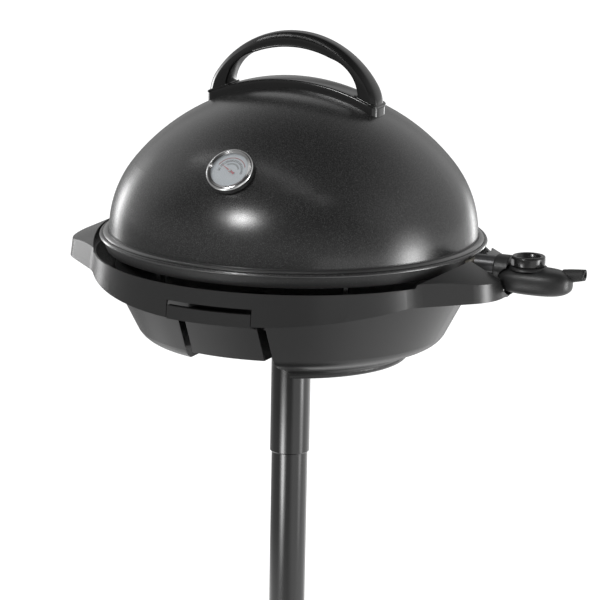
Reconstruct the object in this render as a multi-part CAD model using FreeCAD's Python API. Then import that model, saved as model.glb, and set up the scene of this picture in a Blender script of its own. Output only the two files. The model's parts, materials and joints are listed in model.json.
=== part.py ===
import FreeCAD, Part
import math
import os

os.makedirs("parts", exist_ok=True)

# Shared values, in millimetres and degrees; the floor is level zero
overrun = 40.0
fit_gap = 0.35
running_gap = 0.05
full_turn = 360.0
quarter_turn = 90.0

# Level at which the lid rests on the grill plate
rim_level = 720.0

# Grill plate and heater
plate_radius = 229.0
plate_depth = 13.0
plate_taper = 5.0
plate_rim_width = 7.0
plate_floor = 3.5
rib_pitch = 15.0
rib_width = 6.0
rib_height = 5.0
rib_margin = 8.0
heater_inset = 79.0
heater_radius = plate_radius - heater_inset
heater_width = 7.0
heater_height = 7.0
drain_inset = 40.0
drain_offset = heater_radius - drain_inset
drain_radius = 9.0
terminal_lap = 17.0
terminal_inner_reach = plate_radius - terminal_lap
terminal_overhang = 4.5
terminal_outer_reach = plate_radius + terminal_overhang
terminal_half_width = 13.0
terminal_top_drop = 2.5
terminal_height = 19.5
terminal_bottom_drop = terminal_top_drop + terminal_height
pin_spread = 5.0
pin_seat = 6.0
pin_drop = terminal_top_drop + pin_seat
pin_radius = 1.5
pin_length = 18.5
pin_end_reach = terminal_outer_reach + pin_length
probe_lift = 2.0
probe_drop = pin_drop - probe_lift
probe_radius = 1.5
probe_tip_gap = 2.5
probe_tip_reach = plate_radius + probe_tip_gap

# Lid shell
lid_inset = 8.0
lid_radius = plate_radius - lid_inset
lid_rise = 184.0
lid_shoulder_radius = 132.0
lid_sheet = 1.6
lid_rim_rise = 9.0
lid_rim_width = 11.0
lid_groove_radius = 0.8
flange_top_share = 0.84
flange_bend_shares = (0.45, 0.76)
flange_end_shares = (0.63, 0.48)
bead_bend_shares = (1.0, 0.24)
bead_end_shares = (0.75, 0.0)

# Handle on the lid
grip_radius = 120.0
grip_sink_share = 0.45
grip_centre_rise = lid_rise - grip_radius * grip_sink_share
grip_band_share = 0.0917
grip_band = grip_radius * grip_band_share
grip_width = 28.0
grip_foot_spread = 7.0
grip_foot_width = grip_width + grip_foot_spread
leg_bend_share = 0.41667
leg_bend_radius = grip_radius * leg_bend_share
leg_bend_angle = 31.8
grip_top_rounding = 8.0
grip_inner_rounding = 3.0
opening_top_share = 0.84583
opening_shoulder_shares = (0.40833, 0.76667)
opening_bend_shares = (0.60833, 0.65)
opening_side_shares = (0.70833, 0.44167)
saddle_height = 10.0
saddle_end = 1.5
saddle_border = 1.0
saddle_width = grip_foot_width + saddle_border
handle_screw_share = 0.408
handle_screw_radius = 2.5
handle_screw_depth = 8.0
screw_head_radius = 6.0
screw_head_height = 4.0

# Thermometer in the lid
thermometer_angle = 43.5
case_radius = 25.0
case_height = 5.5
case_skirt = 6.0
dial_sheet = 0.5
dial_level = case_height + dial_sheet
dial_room = 2.0
glass_level = dial_level + dial_room
glass_sheet = 1.0
glass_top = glass_level + glass_sheet
bezel_wall = 3.5
bezel_radius = case_radius + bezel_wall
bezel_foot = 1.5
bezel_shoulder_drop = 2.5
bezel_shoulder = glass_top - bezel_shoulder_drop
bezel_bend = 2.8
bezel_bend_radius = case_radius + bezel_bend
bezel_bend_rise = 0.4
bezel_bend_height = glass_top + bezel_bend_rise
bezel_crest = 0.6
bezel_crest_radius = case_radius + bezel_crest
bezel_crest_rise = 1.6
bezel_crest_height = glass_top + bezel_crest_rise
bezel_lap = 2.4
bezel_mouth_radius = case_radius - bezel_lap
arbor_radius = 0.8
arbor_head_radius = 1.7
arbor_head_height = 0.4
arbor_top_gap = 0.2
arbor_height = dial_room - arbor_top_gap
needle_lift = 0.7
needle_level = dial_level + needle_lift
needle_sheet = 0.4
needle_margin = 6.1
needle_length = bezel_mouth_radius - needle_margin
needle_tail = 7.0
needle_half_width = 0.9
needle_tail_half_width = 1.5
needle_hub_radius = 2.0
needle_rest_angle = 150.0
stem_radius = 3.0
stem_length = 62.0
stem_root = 2.0
nut_radius = 8.0
nut_height = 6.0
nut_sides = 6

# Tray ring with two ears
plate_clearance = 7.0
ring_inner_radius = plate_radius + plate_clearance
ring_lip = 2.5
ring_radius = ring_inner_radius + ring_lip
ring_top_gap = 5.0
ring_top_drop = plate_depth + ring_top_gap
ring_depth = 39.5
ring_low_drop = ring_top_drop + ring_depth
ring_draft = 4.5
ring_wall = 3.0
ring_floor_depth = 17.0
ring_floor_drop = ring_top_drop + ring_floor_depth
ring_floor_sheet = 3.0
ring_floor_width = 36.0
ring_hole_radius = ring_inner_radius - ring_floor_width
ear_overhang = 38.5
ear_reach = ring_radius + ear_overhang
ear_side_inset = 8.0
ear_side_distance = ring_radius - ear_side_inset
ear_side_angle = 45.0
ear_corner_radius = 60.0
ear_root_radius = 100.0
ear_peak = 3.0
ear_fall_angle = 25.5
ear_crown_radius = 270.0
ear_crown_inner_length = 55.0
ear_crown_outer_length = 165.0
ear_gap = 1.0
ear_gap_radius = ring_radius + ear_gap
ear_skirt = 2.0
ear_low_drop = ring_floor_drop + ring_floor_sheet + ear_skirt
ear_flat_half_width = 130.0
post_count = 6
post_first_angle = -50.0
post_inset = 9.5
post_radius = plate_radius - post_inset
post_length = 8.0
post_width = 5.0

# Bowl under the ring
bowl_inset = 16.5
bowl_radius = ring_radius - bowl_inset
bowl_depth = 103.0
bowl_wall = 3.0
side_end_shares = (0.8333, 0.6893)
shoulder_bend_shares = (0.8108, 0.7480)
shoulder_end_shares = (0.7703, 0.8010)
slope_end_shares = (0.6847, 0.8738)
hollow_bend_shares = (0.6500, 0.9060)
hollow_end_shares = (0.6351, 0.9417)
hub_bend_shares = (0.6306, 0.9825)
hub_end_shares = (0.6126, 1.0)
hollow_height = 21.0
hollow_top_drop = ring_floor_drop + ring_floor_sheet + bowl_depth - hollow_height
hollow_end_offset = 46.0

# Drip tray and its channel in the bowl
tray_half_width = 46.0
tray_side_gap = 10.0
channel_half_width = tray_half_width + tray_side_gap
channel_gap = 1.5
channel_top_drop = ring_low_drop + channel_gap
channel_back_offset = 46.0
drip_hole_half_size = 26.0
rail_gap = 2.0
rail_reach = tray_side_gap - rail_gap
rail_height = 3.0
tray_top_gap = 5.5
tray_top_drop = channel_top_drop + tray_top_gap
tray_bottom_gap = 10.5
tray_bottom_drop = hollow_top_drop - tray_bottom_gap
tray_wall = 2.0
tray_back_gap = 7.0
tray_back_offset = channel_back_offset + tray_back_gap
tray_flange_gap = 2.4
tray_flange_reach = tray_side_gap - tray_flange_gap
tray_flange_sheet = 2.5
tray_flange_inset = 32.0
tray_flange_front_offset = bowl_radius - tray_flange_inset
pull_overhang = 7.3
pull_half_width = tray_half_width + pull_overhang
pull_side_gap = 0.7
pull_notch_half_width = pull_half_width + pull_side_gap
pull_notch_gap = 1.2
pull_notch_top_drop = ring_floor_drop + pull_notch_gap
pull_slot_height = 6.2
pull_top_drop = pull_notch_top_drop + pull_slot_height
pull_web_sheet = 2.6
pull_web_front_inset = 1.5
pull_web_front_offset = ring_radius - pull_web_front_inset
pull_web_back_inset = 19.0
pull_web_back_offset = bowl_radius - pull_web_back_inset

# Heat shield
shield_lap = 13.0
shield_radius = ring_hole_radius + shield_lap
shield_clearance = 2.0
shield_drop = 15.0
shield_slope_width = 50.0
shield_flat_radius = ring_hole_radius - shield_slope_width
shield_sheet = 1.0

# Tubes of the stand
lower_tube_radius = 21.7
tube_wall = 1.5
tube_slide_gap = 0.5
upper_tube_radius = lower_tube_radius + tube_slide_gap + tube_wall
upper_tube_reach = 144.0
tube_joint_level = rim_level - hollow_top_drop - upper_tube_reach
tube_overlap = 70.0
tube_stop_height = 3.0
tube_stop_depth = 1.8
tube_lip_rounding = 1.2

# Tube socket in the hub
socket_wall = 3.0
socket_flange_width = 14.0
socket_flange_sheet = 4.0
socket_depth = 45.0
socket_screw_inset = 7.0
socket_screw_radius = 2.2
socket_screw_count = 4
socket_screw_first_angle = 45.0

# Base of the stand
base_radius = 210.0
pad_sheet = 3.0
pad_inset = 1.0
cover_sheet = 3.0
cover_edge_height = 9.0
cover_rise = pad_sheet + cover_edge_height
cover_bend_inset = 60.0
cover_bend_radius = base_radius - cover_bend_inset
cover_bend_rise = 21.0
cover_bend_height = cover_rise + cover_bend_rise
cover_top_radius = 62.0
cover_top_rise = 14.0
cover_top_height = cover_bend_height + cover_top_rise
weight_inset = 48.0
weight_height = 10.0
weight_top = pad_sheet + weight_height
foot_socket_sheet = 4.0
foot_socket_wall = 2.5
foot_flange_width = 27.8
foot_socket_radius = lower_tube_radius + foot_socket_wall + foot_flange_width
foot_screw_inset = 12.0
foot_screw_reach = foot_socket_radius - foot_screw_inset
foot_screw_radius = 3.0
foot_screw_count = 4
collar_bore = lower_tube_radius + foot_socket_wall + fit_gap
collar_foot_width = 11.5
collar_radius = collar_bore + collar_foot_width
collar_top_width = 4.5
collar_top_radius = collar_bore + collar_top_width
collar_height = 18.0
collar_top = cover_top_height + collar_height
collar_lip = 3.0
foot_socket_height = collar_top - collar_lip - weight_top

# Temperature control
sleeve_wall = 0.6
sleeve_inner_radius = pin_radius + fit_gap
sleeve_radius = sleeve_inner_radius + sleeve_wall
barrel_lift = 3.1
barrel_drop = pin_drop - barrel_lift
barrel_room_gap = 0.57
barrel_inner_radius = math.hypot(pin_spread, barrel_lift) + sleeve_radius + barrel_room_gap
barrel_wall = 1.3
barrel_radius = barrel_inner_radius + barrel_wall
barrel_gap = 3.5
barrel_start_reach = terminal_outer_reach + barrel_gap
barrel_length = 36.0
barrel_end_reach = barrel_start_reach + barrel_length
sleeve_inset = 2.0
sleeve_start_reach = barrel_start_reach + sleeve_inset
carrier_inset = 15.0
carrier_start_reach = barrel_end_reach - carrier_inset
carrier_length = 8.0
probe_end_inset = 5.0
probe_end_reach = barrel_end_reach - probe_end_inset
collar_ring_sink = 4.1
collar_ring_drop = barrel_drop + collar_ring_sink
collar_ring_wall = 2.5
collar_ring_radius = barrel_radius + collar_ring_sink + collar_ring_wall
collar_ring_lap = 11.0
collar_ring_start_reach = barrel_end_reach - collar_ring_lap
collar_ring_length = 18.0
collar_ring_rounding = 3.0
grip_case_radius = 23.0
grip_case_lap = 9.0
grip_case_left_reach = barrel_end_reach - grip_case_lap + grip_case_radius
grip_case_length = 47.5
grip_case_right_reach = grip_case_left_reach + grip_case_length
grip_case_top_drop = 3.5
grip_case_height = 30.0
grip_case_split_share = 0.55
grip_case_top_rounding_share = 0.4
grip_case_bottom_rounding_share = 0.46667
grip_case_wall = 2.5
control_gap_clearance = 2.0
control_gap_radius = grip_case_radius + control_gap_clearance
control_gap_drop = 15.0
gap_lip = 3.0
gap_lip_length = 9.0
relief_offset = 6.0
relief_sink = 9.0
relief_drop = grip_case_top_drop + relief_sink
relief_root_radius = 8.0
relief_tip_radius = 6.2
relief_length = 13.0
relief_tip_reach = grip_case_right_reach + grip_case_radius + relief_length
relief_bore_radius = 3.2
relief_bore_depth = 12.0
relief_rounding = 1.2
knob_inset = 14.6
knob_reach = grip_case_left_reach + knob_inset
knob_radius = 20.0
knob_height = 12.0
knob_gap = 1.0
knob_rim = 6.0
knob_dish_radius = knob_radius - knob_rim
knob_dish_depth = 2.5
knob_rounding = 1.6
pointer_width = 5.0
pointer_height = 7.0
pointer_depth = 0.8
pointer_angle = 225.0
spindle_radius = 3.0
spindle_length = 16.0
case_screw_radius = 2.6
case_screw_depth = 10.0
case_screw_head = 1.6


def vector(x, y, z):
    return FreeCAD.Vector(x, y, z)


origin = vector(0, 0, 0)
to_right = vector(1, 0, 0)
upward = vector(0, 0, 1)


def save(name, shape):
    shape.exportStep("parts/" + name + ".step")


def block(low, high):
    return Part.makeBox(high[0] - low[0], high[1] - low[1], high[2] - low[2], vector(*low))


def rod(radius, start, direction, length):
    return Part.makeCylinder(radius, length, start, direction)


def pipe(outer_radius, inner_radius, start, direction, length):
    return rod(outer_radius, start, direction, length).cut(rod(inner_radius, start, direction, length))


def joined(shapes):
    whole = shapes[0]
    for shape in shapes[1:]:
        whole = whole.fuse(shape)
    return whole.removeSplitter()


def wire_through(steps, place):
    """Closed wire from a start point; a pair of numbers draws a line, a pair of points draws an arc."""
    edges = []
    start = place(*steps[0])
    here = start
    for step in steps[1:]:
        if isinstance(step[0], tuple):
            there = place(*step[1])
            edges.append(Part.Arc(here, place(*step[0]), there).toShape())
        else:
            there = place(*step)
            edges.append(Part.LineSegment(here, there).toShape())
        here = there
    if here.distanceToPoint(start) > running_gap:
        edges.append(Part.LineSegment(here, start).toShape())
    return Part.Wire(edges)


def upright(x, z):
    return vector(x, 0, z)


def sideways(y, z):
    return vector(0, y, z)


def turned(steps):
    return Part.Face(wire_through(steps, upright)).revolve(origin, upward, full_turn)


def around(count, first_angle, make):
    """Copies of one shape set evenly about the upright axis."""
    copies = []
    for number in range(count):
        copy = make()
        copy.rotate(origin, upward, first_angle + full_turn * number / count)
        copies.append(copy)
    return copies


# Lid

lid_base_level = rim_level + lid_rim_rise
shoulder_centre_radius = lid_radius - lid_shoulder_radius
dome_height = lid_rise - lid_rim_rise
dome_square = shoulder_centre_radius ** 2 + dome_height ** 2 - lid_shoulder_radius ** 2
crown_radius = dome_square / (2 * (dome_height - lid_shoulder_radius))
crown_centre = lid_base_level + dome_height - crown_radius
crown_join = math.atan2(lid_base_level - crown_centre, shoulder_centre_radius)


def dome_solid(growth):
    """Filled dome down to the rim level, its skin moved outward by the growth."""
    radius = lid_radius + growth
    shoulder = lid_shoulder_radius + growth
    crown = crown_radius + growth
    crown_middle = (math.pi / 2 + crown_join) / 2

    def on_crown(angle):
        return (crown * math.cos(angle), crown_centre + crown * math.sin(angle))

    def on_shoulder(angle):
        across = shoulder_centre_radius + shoulder * math.cos(angle)
        return (across, lid_base_level + shoulder * math.sin(angle))

    return turned([
        (0, crown_centre + crown),
        (on_crown(crown_middle), on_crown(crown_join)),
        (on_shoulder(crown_join / 2), (radius, lid_base_level)),
        (radius, rim_level),
        (0, rim_level),
    ])


def rim_point(shares):
    return (lid_radius + lid_rim_width * shares[0], rim_level + lid_rim_rise * shares[1])


def groove_at(point):
    return Part.makeTorus(point[0], lid_groove_radius, vector(0, 0, point[1]), upward)


dome_outer = dome_solid(0)
dome_inner = dome_solid(-lid_sheet)
flange_start = (lid_radius, rim_level + lid_rim_rise * flange_top_share)
rim_ring = turned([
    (lid_radius - lid_sheet, rim_level),
    (lid_radius - lid_sheet, flange_start[1]),
    flange_start,
    (rim_point(flange_bend_shares), rim_point(flange_end_shares)),
    (rim_point(bead_bend_shares), rim_point(bead_end_shares)),
])
lid_shell = joined([dome_outer, rim_ring])
lid_shell = lid_shell.cut(groove_at(flange_start))
lid_shell = lid_shell.cut(groove_at(rim_point(flange_end_shares)))
lid_shell = lid_shell.cut(dome_inner)

# Handle: a strip along the top of the dome and an arch standing on it

grip_centre = rim_level + grip_centre_rise
grip_foot = grip_centre
grip_top = grip_centre + grip_radius
leg_turn = math.radians(leg_bend_angle)


def leg_point(turn):
    """Point on the bend between the arch and one leg, on the right side."""
    centre_distance = grip_radius - leg_bend_radius
    return (
        centre_distance * math.cos(leg_turn) + leg_bend_radius * math.cos(turn),
        grip_centre + centre_distance * math.sin(leg_turn) + leg_bend_radius * math.sin(turn),
    )


def mirrored(point):
    return (-point[0], point[1])


def opening_point(shares):
    return (grip_radius * shares[0], grip_centre + grip_radius * shares[1])


leg_low = leg_point(0)
leg_middle = leg_point(leg_turn / 2)
leg_high = leg_point(leg_turn)
opening_side = opening_point(opening_side_shares)
opening_bend = opening_point(opening_bend_shares)
opening_shoulder = opening_point(opening_shoulder_shares)
saddle_half_length = leg_low[0] + saddle_end
saddle_box = block(
    (-saddle_half_length, -saddle_width / 2, rim_level),
    (saddle_half_length, saddle_width / 2, rim_level + lid_rise + overrun),
)
saddle_outer = dome_solid(saddle_height)
saddle = saddle_outer.common(saddle_box).cut(dome_outer)

grip_steps = [
    (leg_low[0], grip_foot),
    leg_low,
    (leg_middle, leg_high),
    ((0, grip_top), mirrored(leg_high)),
    (mirrored(leg_middle), mirrored(leg_low)),
    (-leg_low[0], grip_foot),
    (-opening_side[0], grip_foot),
    mirrored(opening_side),
    (mirrored(opening_bend), mirrored(opening_shoulder)),
    (opening_point((0, opening_top_share)), opening_shoulder),
    (opening_bend, opening_side),
    (opening_side[0], grip_foot),
]
grip_face = Part.Face(wire_through(grip_steps, upright))
grip_face.translate(vector(0, -grip_foot_width / 2, 0))
grip = grip_face.extrude(vector(0, grip_foot_width, 0))
grip_taper = Part.Face(wire_through([
    (-grip_foot_width / 2, grip_foot),
    (grip_foot_width / 2, grip_foot),
    (grip_width / 2, grip_top),
    (-grip_width / 2, grip_top),
], sideways))
grip_taper.translate(vector(-grip_radius, 0, 0))
grip = grip.common(grip_taper.extrude(vector(grip_radius * 2, 0, 0)))


def arch_edges(shape, lowest, highest):
    """Edges along the sides of the arch whose distance from its centre lies between two values."""
    chosen = []
    for edge in shape.Edges:
        middle = edge.valueAt((edge.FirstParameter + edge.LastParameter) / 2)
        distance = math.hypot(middle.x, middle.z - grip_centre)
        along_side = abs(middle.y) > grip_width / 2 - running_gap
        above_foot = middle.z > grip_foot + running_gap
        if along_side and above_foot and lowest < distance < highest:
            chosen.append(edge)
    return chosen


grip = grip.makeFillet(grip_top_rounding, arch_edges(grip, grip_radius - grip_band, grip_radius * 2))
grip = grip.makeFillet(grip_inner_rounding, arch_edges(grip, 0, grip_radius - grip_band - running_gap))
grip = grip.cut(saddle_outer)


handle_screw_reach = opening_side[0] + (leg_low[0] - opening_side[0]) * handle_screw_share


def handle_screw(side):
    """One screw from inside the lid up into the handle; its head lies against the lid's inner skin."""
    reach = side * handle_screw_reach
    skin = dome_inner.common(rod(handle_screw_radius, vector(reach, 0, rim_level), upward, lid_rise))
    head_level = skin.BoundBox.ZMax - screw_head_height
    shank_end = head_level + screw_head_height + lid_sheet + saddle_height + handle_screw_depth
    head = rod(screw_head_radius, vector(reach, 0, head_level - screw_head_height), upward, lid_rise)
    head = head.common(dome_inner)
    shank = rod(handle_screw_radius, vector(reach, 0, head_level), upward, shank_end - head_level)
    return joined([head, shank])


handle_screws = [handle_screw(side) for side in (-1, 1)]
for screw in handle_screws:
    lid_shell = lid_shell.cut(screw)
    saddle = saddle.cut(screw)
    grip = grip.cut(screw)

# Thermometer, drawn upright at the origin and then laid on the dome's front

thermometer_lean = math.radians(thermometer_angle)
if thermometer_lean > crown_join:
    skin_radius = crown_radius
    skin_centre = (0, crown_centre)
else:
    skin_radius = lid_shoulder_radius
    skin_centre = (shoulder_centre_radius, lid_base_level)
thermometer_seat = vector(
    0,
    -skin_centre[0] - skin_radius * math.cos(thermometer_lean),
    skin_centre[1] + skin_radius * math.sin(thermometer_lean),
)
thermometer_place = FreeCAD.Placement(
    thermometer_seat, FreeCAD.Rotation(to_right, quarter_turn - thermometer_angle)
)


def seated(shape):
    """The same shape moved from the drawing place to its seat on the dome."""
    moved = shape.copy()
    moved.Placement = thermometer_place.multiply(moved.Placement)
    return moved


stem = seated(rod(stem_radius, vector(0, 0, -stem_length), upward, stem_length + stem_root))
stem_hole = seated(rod(
    stem_radius + running_gap, vector(0, 0, -stem_length), upward, stem_length + stem_root
))
lid_shell = lid_shell.cut(stem_hole)

case = seated(rod(case_radius, vector(0, 0, -case_skirt), upward, case_skirt + case_height))
case = case.cut(dome_outer).cut(stem)

bezel = seated(turned([
    (case_radius, bezel_foot),
    (bezel_radius, bezel_foot),
    (bezel_radius, bezel_shoulder),
    ((bezel_bend_radius, bezel_bend_height), (bezel_crest_radius, bezel_crest_height)),
    (bezel_mouth_radius, glass_top),
    (case_radius, glass_top),
]))
dial = seated(rod(case_radius, vector(0, 0, case_height), upward, dial_sheet))
glass = seated(rod(case_radius, vector(0, 0, glass_level), upward, glass_sheet))

arbor_post = rod(arbor_radius, vector(0, 0, dial_level), upward, arbor_height)
arbor_cap_foot = dial_level + arbor_height - arbor_head_height
arbor_cap = rod(arbor_head_radius, vector(0, 0, arbor_cap_foot), upward, arbor_head_height)
arbor = seated(joined([arbor_post, arbor_cap]))

needle_outline = wire_through([
    (needle_length, 0),
    (0, needle_half_width),
    (-needle_tail, needle_tail_half_width),
    (-needle_tail, -needle_tail_half_width),
    (0, -needle_half_width),
], lambda x, y: vector(x, y, needle_level))
needle = Part.Face(needle_outline).extrude(vector(0, 0, needle_sheet))
needle = joined([needle, rod(needle_hub_radius, vector(0, 0, needle_level), upward, needle_sheet)])
needle = needle.cut(rod(arbor_radius + running_gap, vector(0, 0, needle_level), upward, needle_sheet))
needle.rotate(origin, upward, needle_rest_angle)
needle = seated(needle)

nut_corners = []
for corner in range(nut_sides):
    turn = 2 * math.pi * corner / nut_sides
    nut_corners.append((nut_radius * math.cos(turn), nut_radius * math.sin(turn)))
nut_foot = -lid_sheet - nut_height
nut_face = Part.Face(wire_through(nut_corners, lambda x, y: vector(x, y, nut_foot)))
nut = seated(nut_face.extrude(vector(0, 0, nut_height + lid_sheet))).common(dome_inner).cut(stem)

# Grill plate with ribs, drain hole and heating element

plate_bottom = rim_level - plate_depth
plate_floor_level = plate_bottom + plate_floor
plate_inner_radius = plate_radius - plate_rim_width
floor_radius = plate_inner_radius - plate_taper
plate_pan = turned([
    (0, plate_bottom),
    (plate_radius - plate_taper, plate_bottom),
    (plate_radius, rim_level),
    (plate_inner_radius, rim_level),
    (floor_radius, plate_floor_level),
    (0, plate_floor_level),
])
plate_envelope = turned([
    (0, plate_bottom),
    (plate_radius - plate_taper, plate_bottom),
    (plate_radius, rim_level),
    (0, rim_level),
])
rib_field = rod(floor_radius - rib_margin, vector(0, 0, plate_floor_level), upward, rib_height)
rib_count = int((floor_radius - rib_margin) // rib_pitch)
ribs = []
for number in range(-rib_count, rib_count + 1):
    middle = number * rib_pitch
    bar = block(
        (middle - rib_width / 2, -floor_radius, plate_floor_level),
        (middle + rib_width / 2, floor_radius, plate_floor_level + rib_height),
    )
    ribs.append(bar.common(rib_field))
plate = plate_pan.fuse(ribs).removeSplitter()
drain = rod(drain_radius, vector(0, -drain_offset, plate_bottom), upward, plate_depth)
plate = plate.cut(drain)

heater_bottom = plate_bottom - heater_height
heater_ring = turned([
    (heater_radius - heater_width / 2, plate_bottom),
    (heater_radius + heater_width / 2, plate_bottom),
    (heater_radius + heater_width / 2, heater_bottom + heater_width / 2),
    ((heater_radius, heater_bottom), (heater_radius - heater_width / 2, heater_bottom + heater_width / 2)),
])
ring_break = block((0, -pin_spread, heater_bottom), (plate_radius, pin_spread, plate_bottom))
heater_legs = []
for side in (-1, 1):
    leg_middle = side * pin_spread
    heater_legs.append(block(
        (heater_radius - heater_width / 2, leg_middle - heater_width / 2, heater_bottom + heater_width / 2),
        (terminal_inner_reach, leg_middle + heater_width / 2, plate_bottom),
    ))
heater = joined([heater_ring.cut(ring_break)] + heater_legs)

pin_level = rim_level - pin_drop
probe_level = rim_level - probe_drop
terminal = block(
    (terminal_inner_reach, -terminal_half_width, rim_level - terminal_bottom_drop),
    (terminal_outer_reach, terminal_half_width, rim_level - terminal_top_drop),
).cut(plate_envelope)
pin_root_reach = terminal_outer_reach - (terminal_outer_reach - plate_radius) / 2
terminal_pins = []
for side in (-1, 1):
    pin = rod(pin_radius, vector(pin_root_reach, side * pin_spread, pin_level), to_right,
              pin_end_reach - pin_root_reach)
    terminal = terminal.cut(pin)
    terminal_pins.append(pin)
probe_hole = rod(probe_radius + fit_gap, vector(plate_radius, 0, probe_level), to_right, plate_rim_width)
terminal = terminal.cut(probe_hole)

# Tray ring: a drafted band with an ear on each side

ring_top = rim_level - ring_top_drop
ring_low = ring_top - ring_depth
ring_floor = rim_level - ring_floor_drop
ring_underfloor = ring_floor - ring_floor_sheet
ear_low = rim_level - ear_low_drop
ring_high = rim_level + overrun
side_turn = math.radians(ear_side_angle)
side_normal = (math.cos(side_turn), math.sin(side_turn))


def growth_at(level):
    """Sideways growth of the outline that gives the walls their draft."""
    return ring_draft * (ring_top - level) / ring_depth


def outline_quarter(growth, across, along):
    """Joints of one quarter of the ring and ear outline, mirrored by the two signs."""
    corner_x = ear_reach - ear_corner_radius
    corner_y = (ear_side_distance - ear_corner_radius - corner_x * side_normal[0]) / side_normal[1]
    corner = ear_corner_radius + growth
    root = ear_root_radius - growth
    far_side = ear_side_distance + ear_root_radius
    far_ring = ring_radius + ear_root_radius
    slip = math.sqrt(far_ring ** 2 - far_side ** 2)
    root_x = side_normal[0] * far_side + side_normal[1] * slip
    root_y = side_normal[1] * far_side - side_normal[0] * slip
    ring_turn = math.atan2(root_y, root_x)
    root_turn = (side_turn + ring_turn) / 2
    ring_now = ring_radius + growth
    spots = {
        "edge": (corner_x + corner, corner_y),
        "bend": (corner_x + corner * math.cos(side_turn / 2), corner_y + corner * math.sin(side_turn / 2)),
        "side": (corner_x + corner * side_normal[0], corner_y + corner * side_normal[1]),
        "foot": (root_x - root * side_normal[0], root_y - root * side_normal[1]),
        "hollow": (root_x - root * math.cos(root_turn), root_y - root * math.sin(root_turn)),
        "ring": (ring_now * math.cos(ring_turn), ring_now * math.sin(ring_turn)),
    }
    return {name: (across * spot[0], along * spot[1]) for name, spot in spots.items()}


def outline_wire(growth, level):
    """Closed plan outline of ring and ears at one level."""
    ring_now = ring_radius + growth
    right_back = outline_quarter(growth, 1, 1)
    left_back = outline_quarter(growth, -1, 1)
    left_front = outline_quarter(growth, -1, -1)
    right_front = outline_quarter(growth, 1, -1)
    steps = [
        right_front["edge"],
        right_back["edge"],
        (right_back["bend"], right_back["side"]),
        right_back["foot"],
        (right_back["hollow"], right_back["ring"]),
        ((0, ring_now), left_back["ring"]),
        (left_back["hollow"], left_back["foot"]),
        left_back["side"],
        (left_back["bend"], left_back["edge"]),
        left_front["edge"],
        (left_front["bend"], left_front["side"]),
        left_front["foot"],
        (left_front["hollow"], left_front["ring"]),
        ((0, -ring_now), right_front["ring"]),
        (right_front["hollow"], right_front["foot"]),
        right_front["side"],
        (right_front["bend"], right_front["edge"]),
    ]
    return wire_through(steps, lambda x, y: vector(x, y, level))


def outline_solid(inset, low, high):
    """Drafted solid between two levels, set in from the outer walls."""
    low_wire = outline_wire(growth_at(low) - inset, low)
    high_wire = outline_wire(growth_at(high) - inset, high)
    return Part.makeLoft([low_wire, high_wire], True, True)


def band_solid(inset, low, high):
    """Drafted round solid of the ring alone."""
    low_radius = ring_radius + growth_at(low) - inset
    high_radius = ring_radius + growth_at(high) - inset
    return turned([(0, low), (low_radius, low), (high_radius, high), (0, high)])


def ear_crown(side, inset):
    """Leaning round bar whose upper skin is the top of one ear."""
    fall = math.radians(ear_fall_angle)
    outward = vector(side * math.cos(fall), 0, -math.sin(fall))
    square = vector(side * math.sin(fall), 0, math.cos(fall))
    peak = vector(side * ring_inner_radius, 0, rim_level + ear_peak)
    middle = peak - square * ear_crown_radius
    start = middle - outward * ear_crown_inner_length
    return rod(ear_crown_radius - inset, start, outward, ear_crown_inner_length + ear_crown_outer_length)


tall_outline = outline_solid(0, ring_low, ring_high)
tall_hollow = outline_solid(ring_wall, ring_low - overrun, ring_high)
ear_solids = [tall_outline.common(ear_crown(side, 0)) for side in (-1, 1)]
ring = joined([band_solid(0, ring_low, ring_top)] + ear_solids)

under_band = band_solid(ring_wall, ring_low - overrun, ring_underfloor)
inner_wall = rod(ear_gap_radius + ring_wall, vector(0, 0, ring_underfloor), upward, ring_depth + overrun)
under_ears = [tall_hollow.common(ear_crown(side, ring_wall)).cut(inner_wall) for side in (-1, 1)]
ring = ring.cut(joined([under_band] + under_ears))
ring = ring.cut(rod(ring_inner_radius, vector(0, 0, ring_floor), upward, ring_depth + overrun))
ring = ring.cut(rod(ring_hole_radius, vector(0, 0, ring_low), upward, ring_depth + overrun))
ring = ring.cut(rod(ear_gap_radius, vector(0, 0, ring_top), upward, overrun * 2))

edge_reach = ring_radius + ring_draft
low_cut = Part.Face(wire_through([
    (-edge_reach, ring_low),
    (-ear_flat_half_width, ear_low),
    (ear_flat_half_width, ear_low),
    (edge_reach, ring_low),
    (edge_reach + overrun, ring_low),
    (edge_reach + overrun, ring_low - overrun),
    (-edge_reach - overrun, ring_low - overrun),
    (-edge_reach - overrun, ring_low),
], sideways))
low_cut.translate(vector(-ear_reach - overrun, 0, 0))
ring = ring.cut(low_cut.extrude(vector((ear_reach + overrun) * 2, 0, 0)))

gap_centre = rim_level - control_gap_drop
lip_start = ear_reach - gap_lip_length
lip_below = block(
    (lip_start, -ear_reach, ring_low),
    (ear_reach + growth_at(gap_centre), ear_reach, gap_centre),
)
gap_rim = rod(control_gap_radius + gap_lip, vector(lip_start, 0, gap_centre), to_right, overrun)
gap_rim = gap_rim.common(lip_below)
ring = joined([ring, gap_rim])
gap_round = rod(control_gap_radius, vector(plate_radius, 0, gap_centre), to_right, ear_reach)
gap_above = block(
    (plate_radius, -control_gap_radius, gap_centre), (ear_reach + overrun, control_gap_radius, ring_high)
)
ring = ring.cut(gap_round).cut(gap_above)
pull_back_radius = ring_inner_radius - ring_wall
pull_notch = block(
    (-pull_notch_half_width, -edge_reach - overrun, ring_low - overrun),
    (pull_notch_half_width, 0, rim_level - pull_notch_top_drop),
)
notch_core = rod(pull_back_radius - fit_gap, vector(0, 0, ring_low - overrun), upward, ring_depth + overrun)
ring = ring.cut(pull_notch.cut(notch_core))


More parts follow.
